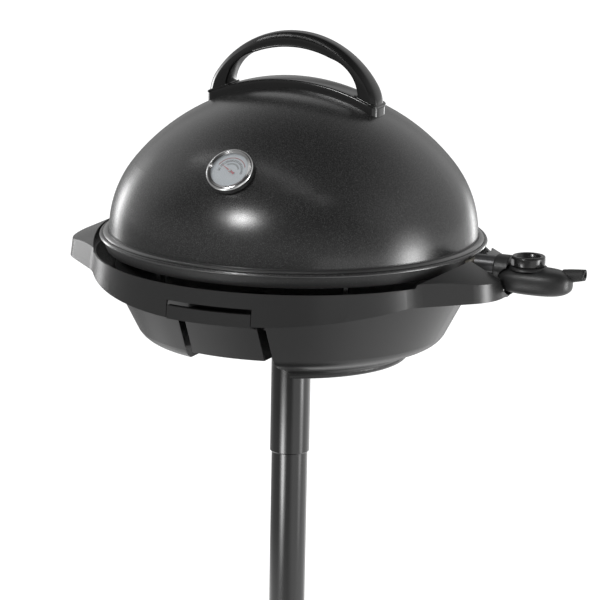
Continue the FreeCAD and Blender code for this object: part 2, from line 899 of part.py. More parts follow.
def plate_post():
    return block(
        (post_radius - post_length / 2, -post_width / 2, ring_floor),
        (post_radius + post_length / 2, post_width / 2, plate_bottom),
    )


ring = joined([ring] + around(post_count, post_first_angle, plate_post))

# Bowl: a turned shell with a channel for the drip tray and a socket for the tube


def bowl_solid(inset):
    """Filled bowl, its skin moved inward and upward by the inset."""

    def point(shares):
        return (bowl_radius * shares[0] - inset, ring_underfloor - bowl_depth * shares[1] + inset)

    return turned([
        (0, ring_underfloor + inset),
        (bowl_radius - inset, ring_underfloor + inset),
        point(side_end_shares),
        (point(shoulder_bend_shares), point(shoulder_end_shares)),
        point(slope_end_shares),
        (point(hollow_bend_shares), point(hollow_end_shares)),
        (point(hub_bend_shares), point(hub_end_shares)),
        (0, ring_underfloor - bowl_depth + inset),
    ])


bowl_bottom = ring_underfloor - bowl_depth
channel_top = rim_level - channel_top_drop
bowl_outer = bowl_solid(0)
channel_walls = block(
    (-channel_half_width - bowl_wall, -edge_reach, bowl_bottom),
    (channel_half_width + bowl_wall, -channel_back_offset + bowl_wall, channel_top + bowl_wall),
).common(bowl_outer)
hollow_top = rim_level - hollow_top_drop
hollow_roof = hollow_top + bowl_wall
hollow_walls = block(
    (-bowl_radius, -bowl_radius, bowl_bottom),
    (channel_half_width + bowl_wall, hollow_end_offset + bowl_wall, hollow_roof),
).common(bowl_outer)
bowl = joined([bowl_outer.cut(bowl_solid(bowl_wall)), channel_walls, hollow_walls])
bowl = bowl.cut(block(
    (-channel_half_width, -edge_reach, bowl_bottom - overrun),
    (channel_half_width, -channel_back_offset, channel_top),
))
bowl = bowl.cut(block(
    (-bowl_radius, -bowl_radius, bowl_bottom - overrun),
    (channel_half_width, hollow_end_offset, hollow_top),
))
bowl = bowl.cut(block(
    (-drip_hole_half_size, -drain_offset - drip_hole_half_size, channel_top),
    (drip_hole_half_size, -drain_offset + drip_hole_half_size, channel_top + overrun),
))
tray_top = rim_level - tray_top_drop
rail_top = tray_top - tray_flange_sheet - running_gap
rails = []
for side in (-1, 1):
    edges = sorted((side * (channel_half_width - rail_reach), side * channel_half_width))
    rail = block(
        (edges[0], -tray_flange_front_offset, rail_top - rail_height),
        (edges[1], -channel_back_offset, rail_top),
    )
    rails.append(rail.common(bowl_outer))
bowl = joined([bowl] + rails)

bore_radius = upper_tube_radius + fit_gap
bowl = bowl.cut(rod(bore_radius, vector(0, 0, hollow_top), upward, bowl_wall))
socket_top = hollow_roof + socket_depth
socket_outer_radius = bore_radius + socket_wall
socket_flange_radius = socket_outer_radius + socket_flange_width
socket_screw_reach = socket_flange_radius - socket_screw_inset
socket = joined([
    rod(socket_flange_radius, vector(0, 0, hollow_roof), upward, socket_flange_sheet),
    rod(socket_outer_radius, vector(0, 0, hollow_roof), upward, socket_depth + socket_wall),
])
socket = socket.cut(rod(bore_radius, vector(0, 0, hollow_roof), upward, socket_depth))


def socket_screw():
    head = rod(screw_head_radius, vector(socket_screw_reach, 0, hollow_top - screw_head_height), upward,
               screw_head_height)
    shank = rod(socket_screw_radius, vector(socket_screw_reach, 0, hollow_top), upward,
                bowl_wall + socket_flange_sheet)
    return joined([head, shank])


socket_screws = around(socket_screw_count, socket_screw_first_angle, socket_screw)
for screw in socket_screws:
    bowl = bowl.cut(screw)
    socket = socket.cut(screw)

# Heat shield lying on the ring's floor

shield_low = ring_floor - shield_drop
shield_bend_radius = ring_hole_radius - shield_clearance
shield = turned([
    (0, shield_low),
    (shield_flat_radius, shield_low),
    (shield_bend_radius, ring_floor),
    (shield_radius, ring_floor),
    (shield_radius, ring_floor + shield_sheet),
    (shield_bend_radius - shield_sheet, ring_floor + shield_sheet),
    (shield_flat_radius, shield_low + shield_sheet),
    (0, shield_low + shield_sheet),
])
shield = shield.cut(rod(drain_radius * 2, vector(0, -drain_offset, shield_low), upward, shield_sheet))

# Drip tray, its front in line with the bowl, and its pull in line with the ring

tray_bottom = rim_level - tray_bottom_drop
tray_outer = block(
    (-tray_half_width, -edge_reach, tray_bottom), (tray_half_width, -tray_back_offset, tray_top)
).common(bowl_outer)
tray_inner = block(
    (-tray_half_width + tray_wall, -edge_reach, tray_bottom + tray_wall),
    (tray_half_width - tray_wall, -tray_back_offset - tray_wall, tray_top + overrun),
).common(bowl_solid(tray_wall))
tray = tray_outer.cut(tray_inner)
tray_flanges = []
for side in (-1, 1):
    edges = sorted((side * (tray_half_width - tray_wall), side * (tray_half_width + tray_flange_reach)))
    tray_flanges.append(block(
        (edges[0], -tray_flange_front_offset, tray_top - tray_flange_sheet),
        (edges[1], -tray_back_offset, tray_top),
    ))
tray = joined([tray] + tray_flanges)

pull_limits = block(
    (-pull_half_width, -edge_reach, ring_low), (pull_half_width, 0, rim_level - pull_top_drop)
)
pull_lip = band_solid(0, ring_low, ring_top).cut(
    rod(pull_back_radius, vector(0, 0, ring_low), upward, ring_depth)
).common(pull_limits)
web_face = Part.Face(wire_through([
    (-pull_web_front_offset, ring_low),
    (-pull_web_front_offset, ring_low + pull_web_sheet),
    (-pull_back_radius, ring_low + pull_web_sheet),
    (-pull_web_back_offset, tray_top),
    (-pull_web_back_offset, tray_top - pull_web_sheet),
    (-pull_back_radius, ring_low),
], sideways))
web_face.translate(vector(-tray_half_width, 0, 0))
pull_web = web_face.extrude(vector(tray_half_width * 2, 0, 0))
tray_pull = joined([pull_lip, pull_web]).cut(tray_outer)

# Tubes of the stand

upper_tube_top = socket_top
joint_top = tube_joint_level + tube_overlap
upper_inner_radius = upper_tube_radius - tube_wall
upper_tube = turned([
    (upper_inner_radius, tube_joint_level),
    (upper_tube_radius - tube_lip_rounding, tube_joint_level),
    (upper_tube_radius, tube_joint_level + tube_lip_rounding),
    (upper_tube_radius, upper_tube_top),
    (upper_inner_radius, upper_tube_top),
    (upper_inner_radius, joint_top + tube_stop_height),
    (upper_inner_radius - tube_stop_depth, joint_top + tube_stop_height),
    (upper_inner_radius - tube_stop_depth, joint_top),
    (upper_inner_radius, joint_top),
])
lower_tube = pipe(lower_tube_radius, lower_tube_radius - tube_wall, vector(0, 0, weight_top), upward,
                  joint_top - weight_top)

# Base of the stand

pad = rod(base_radius - pad_inset, origin, upward, pad_sheet)
weight = rod(base_radius - weight_inset, vector(0, 0, pad_sheet), upward, weight_height)
cover_outer = turned([
    (0, pad_sheet),
    (base_radius, pad_sheet),
    (base_radius, cover_rise),
    ((cover_bend_radius, cover_bend_height), (cover_top_radius, cover_top_height)),
    (0, cover_top_height),
])
cover_inner = turned([
    (0, pad_sheet),
    (base_radius - cover_sheet, pad_sheet),
    (base_radius - cover_sheet, cover_rise - cover_sheet),
    ((cover_bend_radius, cover_bend_height - cover_sheet),
     (cover_top_radius, cover_top_height - cover_sheet)),
    (0, cover_top_height - cover_sheet),
])
cover = cover_outer.cut(cover_inner).cut(rod(collar_bore, origin, upward, cover_top_height))

foot_socket = joined([
    rod(foot_socket_radius, vector(0, 0, weight_top), upward, foot_socket_sheet),
    rod(lower_tube_radius + foot_socket_wall, vector(0, 0, weight_top), upward, foot_socket_height),
]).cut(rod(lower_tube_radius, vector(0, 0, weight_top), upward, foot_socket_height))


def foot_screw():
    seat = weight_top + foot_socket_sheet
    head = rod(screw_head_radius, vector(foot_screw_reach, 0, seat), upward, screw_head_height)
    shank = rod(foot_screw_radius, vector(foot_screw_reach, 0, pad_sheet), upward, seat - pad_sheet)
    return joined([head, shank])


foot_screws = around(foot_screw_count, 0, foot_screw)
for screw in foot_screws:
    weight = weight.cut(screw)
    foot_socket = foot_socket.cut(screw)

collar = turned([
    (collar_bore, cover_top_height),
    (collar_radius, cover_top_height),
    (collar_top_radius, collar_top),
    (lower_tube_radius, collar_top),
    (lower_tube_radius, collar_top - collar_lip),
    (collar_bore, collar_top - collar_lip),
])

# Temperature control: barrel, collar, two case halves, contacts, probe and cable gland

barrel_level = rim_level - barrel_drop
barrel_start = vector(barrel_start_reach, 0, barrel_level)
barrel = pipe(barrel_radius, barrel_inner_radius, barrel_start, to_right, barrel_length)
barrel_room = rod(barrel_radius, barrel_start, to_right, barrel_length)

grip_case_high = rim_level - grip_case_top_drop
grip_case_low = grip_case_high - grip_case_height
grip_case_split = grip_case_low + grip_case_height * grip_case_split_share
grip_case_top_rounding = grip_case_height * grip_case_top_rounding_share
grip_case_bottom_rounding = grip_case_height * grip_case_bottom_rounding_share


def case_solid(inset):
    """Rounded long body of the control, set in by a wall thickness."""
    radius = grip_case_radius - inset
    low = grip_case_low + inset
    high = grip_case_high - inset
    steps = [
        (grip_case_left_reach, -radius),
        (grip_case_right_reach, -radius),
        ((grip_case_right_reach + radius, 0), (grip_case_right_reach, radius)),
        (grip_case_left_reach, radius),
        ((grip_case_left_reach - radius, 0), (grip_case_left_reach, -radius)),
    ]
    face = Part.Face(wire_through(steps, lambda x, y: vector(x, y, low)))
    body = face.extrude(vector(0, 0, high - low))
    top_edges = [edge for edge in body.Edges if edge.BoundBox.ZMin > high - running_gap]
    body = body.makeFillet(grip_case_top_rounding - inset, top_edges)
    low_edges = [edge for edge in body.Edges if edge.BoundBox.ZMax < low + running_gap]
    return body.makeFillet(grip_case_bottom_rounding - inset, low_edges)


case_outer = case_solid(0)
case_shell = case_outer.cut(case_solid(grip_case_wall)).cut(barrel_room)
case_left = grip_case_left_reach - grip_case_radius
case_right = grip_case_right_reach + grip_case_radius
above_split = block(
    (case_left - overrun, -grip_case_radius - overrun, grip_case_split),
    (case_right + overrun, grip_case_radius + overrun, grip_case_high + overrun),
)
upper_case = case_shell.common(above_split)
lower_case = case_shell.cut(above_split)

collar_level = rim_level - collar_ring_drop
collar_ring = rod(collar_ring_radius, vector(collar_ring_start_reach, 0, collar_level), to_right,
                  collar_ring_length)
collar_front_limit = collar_ring_start_reach + running_gap
collar_front = [edge for edge in collar_ring.Edges if edge.BoundBox.XMax < collar_front_limit]
collar_ring = collar_ring.makeFillet(collar_ring_rounding, collar_front)
barrel_bore = rod(barrel_radius, vector(collar_ring_start_reach, 0, barrel_level), to_right,
                  barrel_end_reach - collar_ring_start_reach)
collar_ring = collar_ring.cut(case_outer).cut(barrel_bore)

carrier_start = vector(carrier_start_reach, 0, barrel_level)
carrier = rod(barrel_inner_radius, carrier_start, to_right, carrier_length)
carrier_end_reach = carrier_start_reach + carrier_length
sleeves = []
for side in (-1, 1):
    foot = vector(sleeve_start_reach, side * pin_spread, pin_level)
    sleeve_length = carrier_end_reach - sleeve_start_reach
    sleeve = pipe(sleeve_radius, sleeve_inner_radius, foot, to_right, sleeve_length)
    carrier = carrier.cut(rod(sleeve_radius, foot, to_right, sleeve_length))
    sleeves.append(sleeve)
probe_length = probe_end_reach - probe_tip_reach
probe = rod(probe_radius, vector(probe_tip_reach, 0, probe_level), to_right, probe_length)
carrier = carrier.cut(probe)

relief_level = rim_level - relief_drop
relief_root_reach = grip_case_right_reach
relief = Part.makeCone(relief_root_radius, relief_tip_radius, relief_tip_reach - relief_root_reach,
                       vector(relief_root_reach, relief_offset, relief_level), to_right)
relief_tip_edges = [edge for edge in relief.Edges if edge.BoundBox.XMin > relief_tip_reach - running_gap]
relief = relief.makeFillet(relief_rounding, relief_tip_edges).cut(case_outer)
relief_bore_start = vector(relief_tip_reach - relief_bore_depth, relief_offset, relief_level)
relief = relief.cut(rod(relief_bore_radius, relief_bore_start, to_right, relief_bore_depth))

case_screws = []
for reach in (grip_case_left_reach, grip_case_right_reach):
    head_foot = vector(reach, 0, grip_case_low - case_screw_head)
    head = rod(case_screw_radius * 2, head_foot, upward, case_screw_head)
    shank = rod(case_screw_radius, vector(reach, 0, grip_case_low), upward, case_screw_depth)
    screw = joined([head, shank])
    lower_case = lower_case.cut(screw)
    case_screws.append(screw)

# Knob with its pointer and spindle

knob_low = grip_case_high + knob_gap
knob_high = knob_low + knob_height
knob = turned([
    (0, knob_low),
    (knob_radius, knob_low),
    (knob_radius, knob_high - knob_rounding),
    (knob_radius - knob_rounding, knob_high),
    (knob_dish_radius + knob_rounding, knob_high),
    (knob_dish_radius, knob_high - knob_dish_depth),
    (0, knob_high - knob_dish_depth),
])
pointer = block(
    (knob_radius - pointer_depth, -pointer_width / 2, knob_low + knob_rounding),
    (knob_radius + pointer_depth, pointer_width / 2, knob_low + knob_rounding + pointer_height),
)
pointer.rotate(origin, upward, pointer_angle)
knob = knob.cut(pointer)
spindle = rod(spindle_radius, vector(0, 0, knob_low - spindle_length), upward, spindle_length)
for shape in (knob, pointer, spindle):
    shape.translate(vector(knob_reach, 0, 0))
spindle_hole = rod(spindle_radius + running_gap, vector(knob_reach, 0, grip_case_split), upward, overrun)
upper_case = upper_case.cut(spindle_hole)

# One file for each named piece

save("base_pad", pad)
save("base_weight", weight)
save("base_cover", cover)
save("foot_socket", foot_socket)
save("foot_screws", Part.makeCompound(foot_screws))
save("pole_collar", collar)
save("lower_tube", lower_tube)
save("upper_tube", upper_tube)
save("tray_ring", ring)
save("bowl", bowl)
save("tube_socket", socket)
save("socket_screws", Part.makeCompound(socket_screws))
save("heat_shield", shield)
save("grill_plate", plate)
save("heating_element", heater)
save("terminal_block", terminal)
save("terminal_pins", Part.makeCompound(terminal_pins))
save("lid_shell", lid_shell)
save("handle_saddle", saddle)
save("handle_grip", grip)
save("handle_screws", Part.makeCompound(handle_screws))
save("thermometer_case", case)
save("thermometer_bezel", bezel)
save("thermometer_dial", dial)
save("thermometer_glass", glass)
save("thermometer_arbor", arbor)
save("thermometer_stem", stem)
save("thermometer_nut", nut)
save("thermometer_needle", needle)
save("control_barrel", barrel)
save("control_collar", collar_ring)
save("control_upper_case", upper_case)
save("control_lower_case", lower_case)
save("contact_carrier", carrier)
save("contact_sleeves", Part.makeCompound(sleeves))
save("control_probe", probe)
save("cable_gland", relief)
save("control_screws", Part.makeCompound(case_screws))
save("control_knob", knob)
save("knob_pointer", pointer)
save("knob_spindle", spindle)
save("drip_tray", tray)
save("tray_pull", tray_pull)
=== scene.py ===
import json
import math

import bmesh
import bpy
from mathutils import Matrix, Vector


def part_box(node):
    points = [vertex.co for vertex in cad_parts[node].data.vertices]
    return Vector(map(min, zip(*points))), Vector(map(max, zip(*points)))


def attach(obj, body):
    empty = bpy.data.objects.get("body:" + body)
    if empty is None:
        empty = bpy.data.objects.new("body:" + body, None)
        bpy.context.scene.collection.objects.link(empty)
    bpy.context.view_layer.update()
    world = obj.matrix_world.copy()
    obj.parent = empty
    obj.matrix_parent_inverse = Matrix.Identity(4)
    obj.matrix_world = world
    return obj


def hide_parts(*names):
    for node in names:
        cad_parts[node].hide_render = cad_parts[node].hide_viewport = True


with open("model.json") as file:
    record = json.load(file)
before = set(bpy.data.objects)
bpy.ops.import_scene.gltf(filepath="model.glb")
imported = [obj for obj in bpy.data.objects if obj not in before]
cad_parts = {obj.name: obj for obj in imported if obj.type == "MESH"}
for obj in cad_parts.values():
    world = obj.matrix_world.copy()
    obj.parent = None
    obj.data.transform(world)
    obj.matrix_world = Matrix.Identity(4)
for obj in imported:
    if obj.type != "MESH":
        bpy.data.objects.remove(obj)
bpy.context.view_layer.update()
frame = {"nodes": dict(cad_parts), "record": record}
nodes = frame["nodes"]


# Materials: arithmetic on sockets adds the nodes

class Wire:
    """One socket of a node tree; arithmetic on it adds Math nodes."""

    def __init__(self, tree, socket=None):
        self.tree = tree
        self.socket = socket

    def node(self, kind, settings=None, inputs=None, output=0):
        """A new node: its settings first, then the values or links of its sockets."""
        made = self.tree.nodes.new(kind)
        for name, value in (settings or {}).items():
            setattr(made, name, value)
        for name, value in (inputs or {}).items():
            if isinstance(value, Wire):
                self.tree.links.new(value.socket, made.inputs[name])
            else:
                made.inputs[name].default_value = value
        return Wire(self.tree, made.outputs[output] if made.outputs else None)

    def maths(self, operation, first, second=0.0):
        return self.node("ShaderNodeMath", {"operation": operation}, {0: first, 1: second})

    def __add__(self, other):
        return self.maths("ADD", self, other)

    __radd__ = __add__

    def __sub__(self, other):
        return self.maths("SUBTRACT", self, other)

    def __rsub__(self, other):
        return self.maths("SUBTRACT", other, self)

    def __mul__(self, other):
        return self.maths("MULTIPLY", self, other)

    __rmul__ = __mul__

    def __truediv__(self, other):
        return self.maths("DIVIDE", self, other)

    def __rtruediv__(self, other):
        return self.maths("DIVIDE", other, self)

    def __abs__(self):
        return self.maths("ABSOLUTE", self)

    def or_more(self, other):
        """The larger of two values."""
        return self.maths("MAXIMUM", self, other)

    def clear(self, low, high):
        """0 below low, 1 above high, and a straight climb between."""
        return self.node("ShaderNodeMapRange", {"clamp": True}, {
            "Value": self, "From Min": low, "From Max": high,
        })

    def noise(self, scale, detail=2.0, rough=0.5):
        return self.node("ShaderNodeTexNoise", {}, {
            "Vector": self, "Scale": scale, "Detail": detail, "Roughness": rough,
        })

    def cells(self, scale):
        return self.node("ShaderNodeTexVoronoi", {"feature": "F1"}, {"Vector": self, "Scale": scale})

    def blend(self, first, second):
        """A colour mixed by this mask."""
        return self.node("ShaderNodeMix", {"data_type": "RGBA"}, {
            "Factor": self, 6: (*first, 1), 7: (*second, 1),
        }, output=2)

    def bump(self, depth, strength=1.0, edge=0.0):
        """A normal with this height on it, and sharp edges rounded by the edge radius."""
        inputs = {"Height": self, "Distance": depth, "Strength": strength}
        if edge:
            inputs["Normal"] = self.node("ShaderNodeBevel", {"samples": 4}, {"Radius": edge})
        return self.node("ShaderNodeBump", {}, inputs)


def finish(name, make, **steady):
    """A named material; make gives what varies over the surface, steady what is the same all over."""
    made = bpy.data.materials.new(name)
    made.use_nodes = True
    tree = made.node_tree
    shader = tree.nodes["Principled BSDF"]
    for socket, value in steady.items():
        shader.inputs[socket.replace("_", " ")].default_value = value
    start = Wire(tree)
    place = start.node("ShaderNodeTexCoord", output="Object")
    for socket, wire in make(place).items():
        tree.links.new(wire.socket, shader.inputs[socket])
    return made


def tint(shade, other):
    """Two greys to blend."""
    return (shade, shade, shade), (other, other, other)


def lid_paint(place):
    flake = place.noise(1100, 2.0, 0.7)
    cloud = place.noise(6.0, 2.0)
    glint = flake.clear(0.50, 0.72)
    return {
        "Base Color": glint.blend(*tint(0.014, 0.070)),
        "Roughness": 0.36 + 0.05 * cloud + 0.06 * flake,
        "Normal": flake.bump(0.00004, 0.30),
    }


def rim_paint(place):
    """The lid's paint where it has run smooth over the rolled rim."""
    cloud = place.noise(40.0, 2.0)
    return {"Base Color": cloud.blend(*tint(0.024, 0.040)), "Roughness": 0.34 + 0.08 * cloud}


def moulded(shade, spread, rough, grain, painted_shade_radius=0.0):
    """Matte moulded plastic with a fine sparked texture, and painted shade that turns it near black nearer
    the axis than the given radius.
    """
    def make(place):
        grit = place.noise(grain, 3.0, 0.65)
        cloud = place.noise(9.0, 2.0)
        mottle = 0.6 * grit + 0.4 * cloud
        colour = mottle.blend(*tint(shade - spread, shade + spread))
        if painted_shade_radius:
            # Painted shade: inside this radius the colour goes near black, standing for the shade in the gap
            # under the lid.
            flat = place.node("ShaderNodeVectorMath", {"operation": "MULTIPLY"}, {0: place, 1: (1, 1, 0)})
            radius = place.node("ShaderNodeVectorMath", {"operation": "LENGTH"}, {0: flat}, output="Value")
            colour = place.node("ShaderNodeMix", {"data_type": "RGBA"}, {
                "Factor": radius.clear(painted_shade_radius, painted_shade_radius + 0.001), 6: (0.003, 0.003, 0.003, 1), 7: colour,
            }, output=2)
        return {
            "Base Color": colour,
            "Roughness": rough - 0.06 + 0.12 * grit,
            "Normal": grit.bump(0.00012, 0.5, 0.0013),
        }
    return make


def polished(shade, rough):
    """Gloss black plastic: faint flow marks and a trace of dust in its sheen."""
    def make(place):
        flow = place.noise(26.0, 2.0)
        dust = place.noise(700.0, 2.0)
        return {
            "Base Color": (flow * dust).blend(*tint(shade, shade * 1.8 + 0.002)),
            "Roughness": rough + 0.05 * flow + 0.03 * dust,
            "Normal": flow.bump(0.0002, 0.06),
        }
    return make


def metal(colour, rough, brushed):
    """Bare metal with fine working marks."""
    def make(place):
        marks = place.noise(brushed, 3.0, 0.6)
        cloud = place.noise(14.0, 2.0)
        darker = tuple(0.72 * part for part in colour)
        return {
            "Base Color": (0.5 * marks + 0.5 * cloud).blend(darker, colour),
            "Roughness": rough - 0.05 + 0.14 * marks,
            "Normal": marks.bump(0.00003, 0.3),
        }
    return make


def plate_coating(place):
    fleck = place.cells(420.0)
    grit = place.noise(900.0, 2.0)
    spot = 1 - fleck.clear(0.16, 0.30)
    return {
        "Base Color": (spot * grit.clear(0.42, 0.62)).blend(*tint(0.022, 0.060)),
        "Roughness": 0.42 + 0.12 * grit,
        "Normal": grit.bump(0.00008, 0.4),
    }


def tube_paint(place):
    peel = place.noise(240.0, 2.0)
    cloud = place.noise(10.0, 2.0)
    return {
        "Base Color": cloud.blend(*tint(0.010, 0.016)),
        "Roughness": 0.16 + 0.05 * cloud + 0.04 * peel,
        "Normal": peel.bump(0.00005, 0.25),
    }


def dial_card(place):
    fibre = place.noise(900.0, 2.0)
    return {
        "Base Color": fibre.blend((0.27, 0.29, 0.305), (0.325, 0.345, 0.36)),
        "Roughness": 0.5 + 0.1 * fibre,
    }


def enamel(first, second, rough):
    def make(place):
        cloud = place.noise(300.0, 2.0)
        return {"Base Color": cloud.blend(first, second), "Roughness": rough + 0.1 * cloud}
    return make


finishes = {
    "lid_paint": finish(
        "lid_paint", lid_paint,
        Metallic=0.18, Specular_IOR_Level=0.0, Coat_Weight=1.0, Coat_Roughness=0.24,
    ),
    "rim_paint": finish("rim_paint", rim_paint, Metallic=0.3, Coat_Weight=1.0, Coat_Roughness=0.17),
    # The ring plastic carries painted shade, near black, inside a radius of 236.5 mm.
    "ring_plastic": finish(
        "ring_plastic", moulded(0.016, 0.004, 0.42, 1500.0, 0.2365),
        Specular_IOR_Level=0.05, Coat_Weight=0.8, Coat_Roughness=0.25,
    ),
    "bowl_plastic": finish(
        "bowl_plastic", moulded(0.012, 0.004, 0.44, 1300.0),
        Specular_IOR_Level=0.05, Coat_Weight=0.7, Coat_Roughness=0.27,
    ),
    "plate_coating": finish("plate_coating", plate_coating),
    "handle_plastic": finish("handle_plastic", polished(0.005, 0.10)),
    "control_plastic": finish("control_plastic", moulded(0.013, 0.003, 0.42, 1900.0)),
    "knob_plastic": finish("knob_plastic", polished(0.010, 0.16)),
    "pointer_grey": finish("pointer_grey", enamel((0.30, 0.30, 0.30), (0.38, 0.38, 0.38), 0.4)),
    "barrel_grey": finish("barrel_grey", metal((0.085, 0.085, 0.087), 0.34, 500.0), Metallic=0.7),
    "gland_rubber": finish("gland_rubber", moulded(0.014, 0.004, 0.62, 1700.0)),
    "bezel_chrome": finish("bezel_chrome", metal((0.72, 0.72, 0.72), 0.11, 90.0), Metallic=1.0),
    "dial_white": finish("dial_white", dial_card),
    "dial_glass": finish("dial_glass", enamel((0.8, 0.85, 0.9), (0.9, 0.93, 0.95), 0.02), Alpha=0.08),
    "needle_red": finish("needle_red", enamel((0.23, 0.012, 0.025), (0.30, 0.02, 0.03), 0.35)),
    "scale_red": finish("scale_red", enamel((0.13, 0.03, 0.025), (0.20, 0.03, 0.025), 0.5)),
    "dial_ink": finish("dial_ink", enamel((0.015, 0.017, 0.02), (0.03, 0.032, 0.035), 0.5)),
    "plain_steel": finish("plain_steel", metal((0.55, 0.55, 0.53), 0.32, 700.0), Metallic=1.0),
    "heater_sheath": finish("heater_sheath", metal((0.16, 0.15, 0.14), 0.45, 260.0), Metallic=0.9),
    # Painted shade: the heat shield is coloured near black instead of the mill-finish aluminium it is
    # recorded as, for the shade it sits in under the plate.
    "shield_sheet": finish("shield_sheet", metal((0.05, 0.05, 0.05), 0.5, 180.0), Metallic=0.6),
    "terminal_ceramic": finish("terminal_ceramic", enamel((0.50, 0.47, 0.41), (0.60, 0.57, 0.50), 0.5)),
    "contact_brass": finish("contact_brass", metal((0.60, 0.42, 0.16), 0.30, 500.0), Metallic=1.0),
    "tube_paint": finish(
        "tube_paint", tube_paint, Specular_IOR_Level=0.3, Coat_Weight=0.6, Coat_Roughness=0.08,
    ),
    "base_plastic": finish("base_plastic", moulded(0.026, 0.006, 0.48, 1200.0)),
    "iron_weight": finish("iron_weight", metal((0.12, 0.115, 0.11), 0.62, 220.0), Metallic=0.7),
    "rubber_pad": finish("rubber_pad", moulded(0.015, 0.004, 0.72, 1000.0)),
}


for subpart in frame["record"]["subparts"]:
    for held in nodes[subpart["node"]].material_slots:
        held.material = finishes[subpart["material_slot"]]


# Shapes: lengths below are millimetres in the shared frame

mm = 0.001
rim = 720.0


def piece_of(name, points, faces, slot, body, stands_for=(), angle=32.0):
    """A mesh piece in its finish, riding on a body and standing for CAD nodes."""
    mesh = bpy.data.meshes.new(name)
    mesh.from_pydata([tuple(part * mm for part in point) for point in points], [], faces)
    shape = bmesh.new()
    shape.from_mesh(mesh)
    bmesh.ops.remove_doubles(shape, verts=shape.verts, dist=1e-6)
    bmesh.ops.recalc_face_normals(shape, faces=shape.faces)
    shape.to_mesh(mesh)
    shape.free()
    piece = bpy.data.objects.new(name, mesh)
    bpy.context.collection.objects.link(piece)
    mesh.shade_smooth()
    mesh.set_sharp_from_angle(angle=math.radians(angle))
    mesh.materials.append(finishes[slot])
    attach(piece, body)
    if stands_for:
        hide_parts(*stands_for)


def skin(loops, closed=False, capped=True):
    """Points and faces that join loops of equal length in turn."""
    count = len(loops[0])
    points = [point for loop in loops for point in loop]
    faces = []
    spans = len(loops) if closed else len(loops) - 1
    for row in range(spans):
        here = row * count
        there = (row + 1) % len(loops) * count
        for spot in range(count):
            ahead = (spot + 1) % count
            faces.append((here + spot, here + ahead, there + ahead, there + spot))
    if capped and not closed:
        faces.append(tuple(range(count - 1, -1, -1)))
        faces.append(tuple(range(len(points) - count, len(points))))
    return points, faces


def lathe(profile, centre, steps=96):
    """Closed profile of radius and level pairs turned about an upright axis."""
    loops = []
    for step in range(steps):
        angle = 2 * math.pi * step / steps
        loops.append([
            (centre[0] + radius * math.cos(angle), centre[1] + radius * math.sin(angle), centre[2] + level)
            for radius, level in profile
        ])
    return skin(loops, closed=True)


def arc_between(first, middle, last, count):
    """Points along the circle through three points of a plane, without the first."""
    a, b, c = (Vector(point) for point in (first, middle, last))
    turn = 2 * ((b - a).x * (c - a).y - (b - a).y * (c - a).x)
    ab, ac = (b - a).length_squared, (c - a).length_squared
    hub = a + Vector(((c - a).y * ab - (b - a).y * ac, (b - a).x * ac - (c - a).x * ab)) / turn
    start = math.atan2(a.y - hub.y, a.x - hub.x)
    sweep = math.atan2(c.y - hub.y, c.x - hub.x) - start
    sweep = (sweep + math.pi) % (2 * math.pi) - math.pi
    radius = (a - hub).length
    angles = [start + sweep * step / count for step in range(1, count + 1)]
    return [(hub.x + radius * math.cos(angle), hub.y + radius * math.sin(angle)) for angle in angles]


def even(path, count):
    """The same path at count evenly spaced points."""
    points = [Vector(point) for point in path]
    lengths = [0.0]
    for here, there in zip(points, points[1:]):
        lengths.append(lengths[-1] + (there - here).length)
    spaced = []
    leg = 0
    for step in range(count):
        want = lengths[-1] * step / (count - 1)
        while leg < len(points) - 2 and lengths[leg + 1] < want:
            leg += 1
        share = (want - lengths[leg]) / (lengths[leg + 1] - lengths[leg])
        spaced.append(points[leg].lerp(points[leg + 1], share))
    return spaced


# Handle arch: a chamfered bar bent over the dome's top

arch_centre = rim + 130.0
arch_radius = 120.0
arch_top = arch_centre + arch_radius
bend = math.radians(31.8)
leg_radius = 50.0
foot_corner = (109.5, rim + 162.0)
opening_top = (0.0, rim + 231.5)
opening_shoulder = (49.0, rim + 222.0)
opening_bend = (73.0, rim + 208.0)
opening_side = (85.0, rim + 183.0)
opening_foot = (85.0, rim + 173.0)
bar_half_width = 14.0
bar_flare = 3.5


def round_arch(angle, radius=arch_radius):
    """Place at this angle on a circle about the arch's centre."""
    return radius * math.cos(angle), arch_centre + radius * math.sin(angle)


outer_path = [(0.0, arch_top)]
outer_path += arc_between(outer_path[0], round_arch(1.0), round_arch(bend), 40)
leg_hub = round_arch(bend, arch_radius - leg_radius)
leg_middle = (leg_hub[0] + leg_radius * math.cos(bend / 2), leg_hub[1] + leg_radius * math.sin(bend / 2))
outer_path += arc_between(outer_path[-1], leg_middle, (leg_hub[0] + leg_radius, leg_hub[1]), 14)
outer_path.append(foot_corner)
far_shoulder = (-opening_shoulder[0], opening_shoulder[1])
inner_path = [opening_top]
inner_path += arc_between(far_shoulder, opening_top, opening_shoulder, 40)[20:]
inner_path += arc_between(opening_shoulder, opening_bend, opening_side, 20)
inner_path.append(opening_foot)


def arch_section(outer, inner):
    """Loop round the bar between its outer and inner line; the front edge has a broad flat chamfer."""
    depth = (outer - inner).length
    lift = (outer - inner) / depth
    half = bar_half_width + bar_flare * (arch_top - outer.y) / arch_radius
    front = [
        (0.0, half - 3.4), (0.35, half - 1.8), (1.2, half - 0.6), (2.8, half),
        (depth - 8.2, half), (depth - 7.4, half - 0.15), (depth - 6.6, half - 0.75),
        (depth - 1.9, half - 5.3), (depth - 1.1, half - 6.3), (depth - 0.7, half - 7.4),
        (depth - 0.15, half - 10.5), (depth, 0.0),
    ]
    loop = [(along, -aside) for along, aside in front]
    loop += [(along, aside) for along, aside in reversed(front[:-1])]
    return [(inner.x + lift.x * along, aside, inner.y + lift.y * along) for along, aside in loop]


